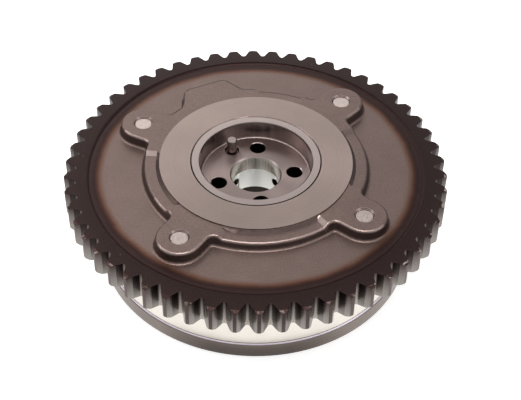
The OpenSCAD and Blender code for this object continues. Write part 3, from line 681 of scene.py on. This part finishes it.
def tooth_part(near, far, normal, outward):
    """Tips, shoulders, roots and sides, and the chamfer on top of each tip."""
    if abs(normal.z) < UPRIGHT:
        if near > SHOULDERS_FROM:
            return tip_metal if outward > 0.9 else rubbed_metal
        return root_metal if far < ROOTS_TO and outward > 0.6 else tooth_metal
    if near > TIP_CHAMFER_FROM and far > TIP_CHAMFER_PAST and normal.z > UPRIGHT:
        return nick_metal
    return plate_metal


print("teeth start", TEETH_FROM, "mm from the axis")

# %% Which finish a face of the platform takes
BOLT_CIRCLE, BOLT_ANGLES = 36.8, (46.5, 155, 236.5, 324.5)
BOLT_CENTRES = [BOLT_CIRCLE * Vector((math.cos(math.radians(angle)), math.sin(math.radians(angle))))
                for angle in BOLT_ANGLES]
THREAD_REACH, LOBE_REACH = 2.88, 8
LEDGE_TOP, LOBE_TOP = 31.2, 32.1
STEP_FROM, STEP_TO, RAMPS_TO = 27.5, 30, 33.5
EDGES_FROM, BOSS_TO = 28.5, 42
NEAR_EDGES_LOW, FAR_EDGES_LOW = 30.2, 29.9
LEVEL, ROUNDED = 0.95, 0.985


def platform_part(near, far, middle, normal, outward):
    """The hub hole, the turned face, the bolt holes, and the steps, ramps and edges of the platform."""
    from_bolt = min((middle.xy - bolt).length for bolt in BOLT_CENTRES)
    half_lean = 0.5 * normal.xy.length
    # The hub hole's wall is the dark oiled seam; its top edge takes the painted highlight.
    if far < HUB_HOLE + 0.25:
        return seam_metal if normal.z < 0.2 else edge_highlight_metal
    if far < FACE_EDGE + 0.05 and normal.z > LEVEL and middle.z > FACE_TOP - 0.2:
        return face_metal
    if far - near < 2 and from_bolt < THREAD_REACH:
        return thread_metal
    # Painted shade: the outward wall of the step below the turned face is dark.
    if (STEP_FROM < near and far < STEP_TO and middle.z > LEDGE_TOP - 0.2
            and outward > 0.4 and normal.z > 0.05):
        return step_shade_metal
    # Painted highlight: the ramps that face the front are light; the others keep the plate's finish.
    if (STEP_FROM < near and far < RAMPS_TO and LEDGE_TOP + 0.05 < middle.z < LOBE_TOP - 0.05
            and normal.z > 0.5):
        toward_front = normal.x < 0.05 and normal.y < -0.15 and abs(outward) < 0.5
        return ramp_highlight_metal if toward_front else plate_metal
    # Painted highlight: rounded upper edges that face the front are light.
    if EDGES_FROM < near and middle.z > NEAR_EDGES_LOW and 0.2 < normal.z < ROUNDED and normal.y < -half_lean:
        return edge_highlight_metal
    # Painted shade: rounded upper edges at the back of the boss, away from the bolt lobes, are dark.
    if (EDGES_FROM < near and far < BOSS_TO and middle.z > FAR_EDGES_LOW and 0.8 < normal.z < ROUNDED
            and normal.y > half_lean and from_bolt > LOBE_REACH):
        return far_edge_shade_metal
    return plate_metal


print("bolt holes at mm:", [[round(v, 1) for v in bolt] for bolt in BOLT_CENTRES])

# %% Sprocket plate piece
def plate_part(near, far, middle, normal):
    """Hands each face of the plate to the rule for the teeth or the platform."""
    outward = normal.xy.dot(middle.xy.normalized())
    if near > TEETH_FROM:
        return tooth_part(near, far, normal, outward)
    return platform_part(near, far, middle, normal, outward)


finish_piece(plate_mesh, "plate", "sprocket_plate", "case",
             [plate_metal, face_metal, tooth_metal, seam_metal, tip_metal, rubbed_metal, thread_metal,
              nick_metal, root_metal, ramp_highlight_metal, step_shade_metal, edge_highlight_metal, far_edge_shade_metal], plate_part)

# %% [markdown]
# ## Housing and cover
# Under the teeth stand the aluminium housing, turned bright, and the ground steel front cover. Both are
# rings, so their tool marks run round the wall: the marks follow the height. The cover's upper edge is
# chamfered, and along that narrow cut a bright lilac line is painted on: a painted highlight. It is half a
# millimetre wide, so a ramp on the height draws it more cleanly than more faces would.

# %% Housing wall
wall_metal = turned_metal("housing_wall", (0.95, 0.89, 0.81), 0.22, coarse=0.5, fine=0.12, upright=1.0,
                          depth=0.002, contrast=0.03)
finish_piece(working_copy("stator_housing"), "housing", "stator_housing", "case",
             [wall_metal])

# %% Cover finishes
CUT_LOW, CUT_HIGH = 4.9, 5.4
CHAMFER_HIGHLIGHT_COLOURS = [
    (0.0, (0.15, 0.12, 0.105)),
    (0.3, (0.17, 0.14, 0.125)),
    (0.5, (0.76, 0.67, 0.77)),
    (1.0, (0.86, 0.78, 0.86)),
]

rim_metal = turned_metal("cover_rim", (0.26, 0.213, 0.19), 0.3, coarse=0.6, fine=0.14, upright=1.0,
                         depth=0.002)
cover_edge_highlight, tree, shader = metal("cover_edge_painted_highlight", 0.3, 0.35)
axis = put(tree, "Group", node_tree=round_axis)
# Painted highlight: the ramp makes the upper part of the chamfer a bright lilac line.
cut = ramp(tree, spread(tree, axis.outputs["Height"], CUT_LOW, CUT_HIGH), CHAMFER_HIGHLIGHT_COLOURS)
marks = put(tree, "Group", {"Coarse": 3.0, "Fine": 0.6, "Lengthways": 1.0}, node_tree=turning)
tone = varied(tree, marks.outputs["Marks"], 0.93, 1.07)
tree.links.new(shade(tree, cut, tone), shader.inputs["Base Color"])
ground_metal = turned_metal("cover_face", (0.30, 0.26, 0.24), 0.36, coarse=1.4, fine=0.25, sideways=0.4)
print("finishes:", [m.name for m in (rim_metal, cover_edge_highlight, ground_metal)])

# %% Front cover
def cover_part(near, far, middle, normal):
    """Chamfers, flat faces and walls of the cover."""
    if UPRIGHT < abs(normal.z) < LEVEL:
        return cover_edge_highlight
    return ground_metal if abs(normal.z) > LEVEL else rim_metal


finish_piece(working_copy("front_cover"), "cover", "front_cover", "case",
             [rim_metal, cover_edge_highlight, ground_metal], cover_part, smooth=30)

# %% [markdown]
# ## Through bolts
# Four bolts come up from the front cover and end in the plate's lobes. Their ends look sheared: rougher and
# patchier than the shank, with a broken edge. A coarse grain with deep relief gives that look without
# modelling the tear.

# %% Through bolts
BOLT_ENDS_FROM, BOLT_END_EDGES_FROM = 31, 31.5
BOLT_END_BREAK = 0.2

sheared_metal = grainy_metal("bolt_ends", (0.32, 0.265, 0.247), 0.3, size=0.9, depth=0.05, contrast=0.2,
                             pores=0.1)
bolt_metal = grainy_metal("bolt_steel", (0.30, 0.26, 0.24), 0.34, size=0.3, depth=0.004)


def bolt_part(near, far, middle, normal):
    """The sheared ends and the rest of the bolts."""
    return sheared_metal if normal.z > 0.9 and middle.z > BOLT_ENDS_FROM else bolt_metal


bolt_mesh = working_copy("cover_bolts")
soften(bolt_mesh, sharp_edges(bolt_mesh, lambda r, z: z > BOLT_END_EDGES_FROM, SQUARE), BOLT_END_BREAK)
finish_piece(bolt_mesh, "through_bolts", "cover_bolts", "case", [bolt_metal, sheared_metal],
             bolt_part, smooth=30)

# %% [markdown]
# ## Rotor
# Only the rotor's end shows: a turned rim, the recess for the camshaft and its oil holes. The bolt bore has
# bright lines along it, the oil gallery under it is pale, and the pocket below that is in the dark. One mesh
# carries the finishes, chosen by the radius, height and slope of each face. The lips of the oil holes are
# bevelled, because in the photograph they catch a thin light ring.

# %% Rotor finishes
rotor_metal = turned_metal("rotor_face", (0.175, 0.137, 0.128), 0.34, coarse=0.5, fine=0.12, sideways=0.8)
lip_metal = turned_metal("rotor_rim", (0.235, 0.195, 0.183), 0.3, coarse=0.4, fine=0.1, sideways=0.4)
bore_metal = turned_metal("broached_bore", (0.78, 0.75, 0.69), 0.22, coarse=2.2, fine=0.5, lengthways=1.0,
                          depth=0.005, contrast=0.13)
gallery_metal = turned_metal("oil_gallery", (1.0, 0.995, 0.945), 0.42, upright=1.0, depth=0.002,
                             contrast=0.02)
# The lengthways marks on the recess wall are partly tool marks and partly painted sheen: they make wide bands
# of light and dark round the wall.
recess_marks_and_sheen = turned_metal("recess_wall_marks_and_painted_sheen", (0.35, 0.285, 0.27), 0.3, coarse=5.0, fine=1.5, lengthways=1.0,
                            depth=0.01, contrast=0.16)
# Painted shade: the pocket under the gallery and the hub's outer wall in the gap round it are made dark.
painted_shade_metal = grainy_metal("pocket_and_gap_painted_shade", (0.035, 0.028, 0.023), 0.5)
mouth_metal = grainy_metal("dowel_mouth", (0.11, 0.075, 0.068), 0.4, size=0.3)
# Painted highlight: the bevelled lips of the oil holes take a lighter finish than the face round them.
hole_lips = grainy_metal("oil_hole_lips_painted_highlight", (0.44, 0.37, 0.36), 0.32, size=0.3)
rotor_finishes = [rotor_metal, lip_metal, bore_metal, gallery_metal, painted_shade_metal, recess_marks_and_sheen, mouth_metal,
                  hole_lips]
print("finishes:", [m.name for m in rotor_finishes])

# %% Which finish a face of the rotor takes
BORES_TO, POCKET_TO = 8.2, 14.2
RECESS_FLOOR, BORE_CHAMFER_LOW, BORE_FOOT, GALLERY_FOOT = 26.65, 26, 21.9, 14.3
DOWEL_PLACE, DOWEL_MOUTH = Vector((-7.125, 10.026)), 2.2
OIL_HOLES_FROM, LIPS_LOW = 8.5, 26.2
HUB_SIDE_FROM, HUB_SIDE_LOW = 18.3, 21.0
RECESS_WALL_FROM, RECESS_WALL_LOW, RIM_FROM = 15.95, 27, 31.8


def rotor_part(near, far, middle, normal):
    """Bore and gallery first, then the recess and its holes, then the hub's outside."""
    if far < BORES_TO and middle.z > BORE_CHAMFER_LOW and normal.z > 0.3:
        return lip_metal
    if far < BORES_TO and middle.z > GALLERY_FOOT:
        return bore_metal if middle.z > BORE_FOOT else gallery_metal
    if (middle.xy - DOWEL_PLACE).length < DOWEL_MOUTH and middle.z < RECESS_FLOOR - 0.05:
        return mouth_metal
    if (OIL_HOLES_FROM < near and far < POCKET_TO and LIPS_LOW < middle.z < RECESS_FLOOR
            and 0.1 < normal.z < 0.97):
        return hole_lips
    # Painted shade for the pocket and for the hub's side in the gap.
    if (far < POCKET_TO and middle.z < GALLERY_FOOT) or (near > HUB_SIDE_FROM and middle.z > HUB_SIDE_LOW):
        return painted_shade_metal
    if near > RECESS_WALL_FROM and middle.z > RECESS_WALL_LOW:
        return lip_metal if middle.z > RIM_FROM else recess_marks_and_sheen
    return rotor_metal


print("recess floor at", RECESS_FLOOR, "mm")

# %% Rotor piece
OIL_HOLE_EDGES_TO = 14.5
LIP_BREAK = 0.25

rotor_mesh = working_copy("vane_rotor")
lips = sharp_edges(rotor_mesh, lambda r, z: OIL_HOLES_FROM < r < OIL_HOLE_EDGES_TO
                   and abs(z - RECESS_FLOOR) < 0.05, SQUARE)
soften(rotor_mesh, lips, LIP_BREAK, segments=3)
finish_piece(rotor_mesh, "rotor", "vane_rotor", "rotor", rotor_finishes, rotor_part, smooth=30)

# %% [markdown]
# ## Timing dowel
# A small hardened pin in the recess sets the angle of the camshaft. Its wall is ground and its end is plain,
# so it has two finishes. The solid already has the lead chamfer, and nothing is added to it.

# %% Timing dowel
dowel_metal = turned_metal("dowel_steel", (0.21, 0.17, 0.155), 0.3, upright=1.0, depth=0.002)
dowel_end = grainy_metal("dowel_end", (0.20, 0.163, 0.152), 0.35, size=0.3, depth=0.006)


def dowel_part(near, far, middle, normal):
    """The end with its chamfer, and the wall."""
    return dowel_end if normal.z > UPRIGHT else dowel_metal


finish_piece(working_copy("dowel_pin"), "timing_dowel", "dowel_pin", "rotor",
             [dowel_metal, dowel_end], dowel_part, smooth=30)

# %% [markdown]
# ## Pieces inside
# The lock pin, its seat and bush, and the seal strips with their leaf springs sit out of sight. Copies of
# them would add nothing, so their solids stay as they are and take finishes of their own: the phaser can be
# opened up in other scenes.

# %% Finishes for the inner pieces
hard_metal = turned_metal("hardened_steel", (0.33, 0.30, 0.29), 0.28, upright=1.0, depth=0.002)
wire_metal = grainy_metal("spring_wire", (0.42, 0.40, 0.39), 0.3, size=0.2, depth=0.003)
strip_plastic = grainy_metal("seal_strip", (0.40, 0.31, 0.20), 0.5, size=0.3, depth=0.006, metallic=0.0)

inner_finishes = {node: hard_metal for node in ("lock_pin", "lock_bush", "lock_spring_seat")}
for number in range(1, 5):
    for place in ("vane", "shoe"):
        inner_finishes[f"{place}_seal_{number}"] = strip_plastic
        inner_finishes[f"{place}_seal_spring_{number}"] = wire_metal
for node, finish in inner_finishes.items():
    for material_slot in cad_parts[node].material_slots:
        material_slot.material = finish
print("inner pieces dressed:", len(inner_finishes))

# %% [markdown]
# ## Lock spring
# The lock spring sits between its seat in the rotor and the pin. When the pin moves back, the real spring
# gets shorter. A rigid coil would run into the pin, but this coil is a plain piece: it rides on no body, and
# its place is baked into its mesh.

# %% Lock spring
foot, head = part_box("lock_spring")
across = [(a + b) / 2 for a, b in zip(foot[:2], head[:2])]
coil = finish_piece(working_copy("lock_spring"), "lock_coil", "lock_spring", None,
                    [wire_metal])
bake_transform(coil)
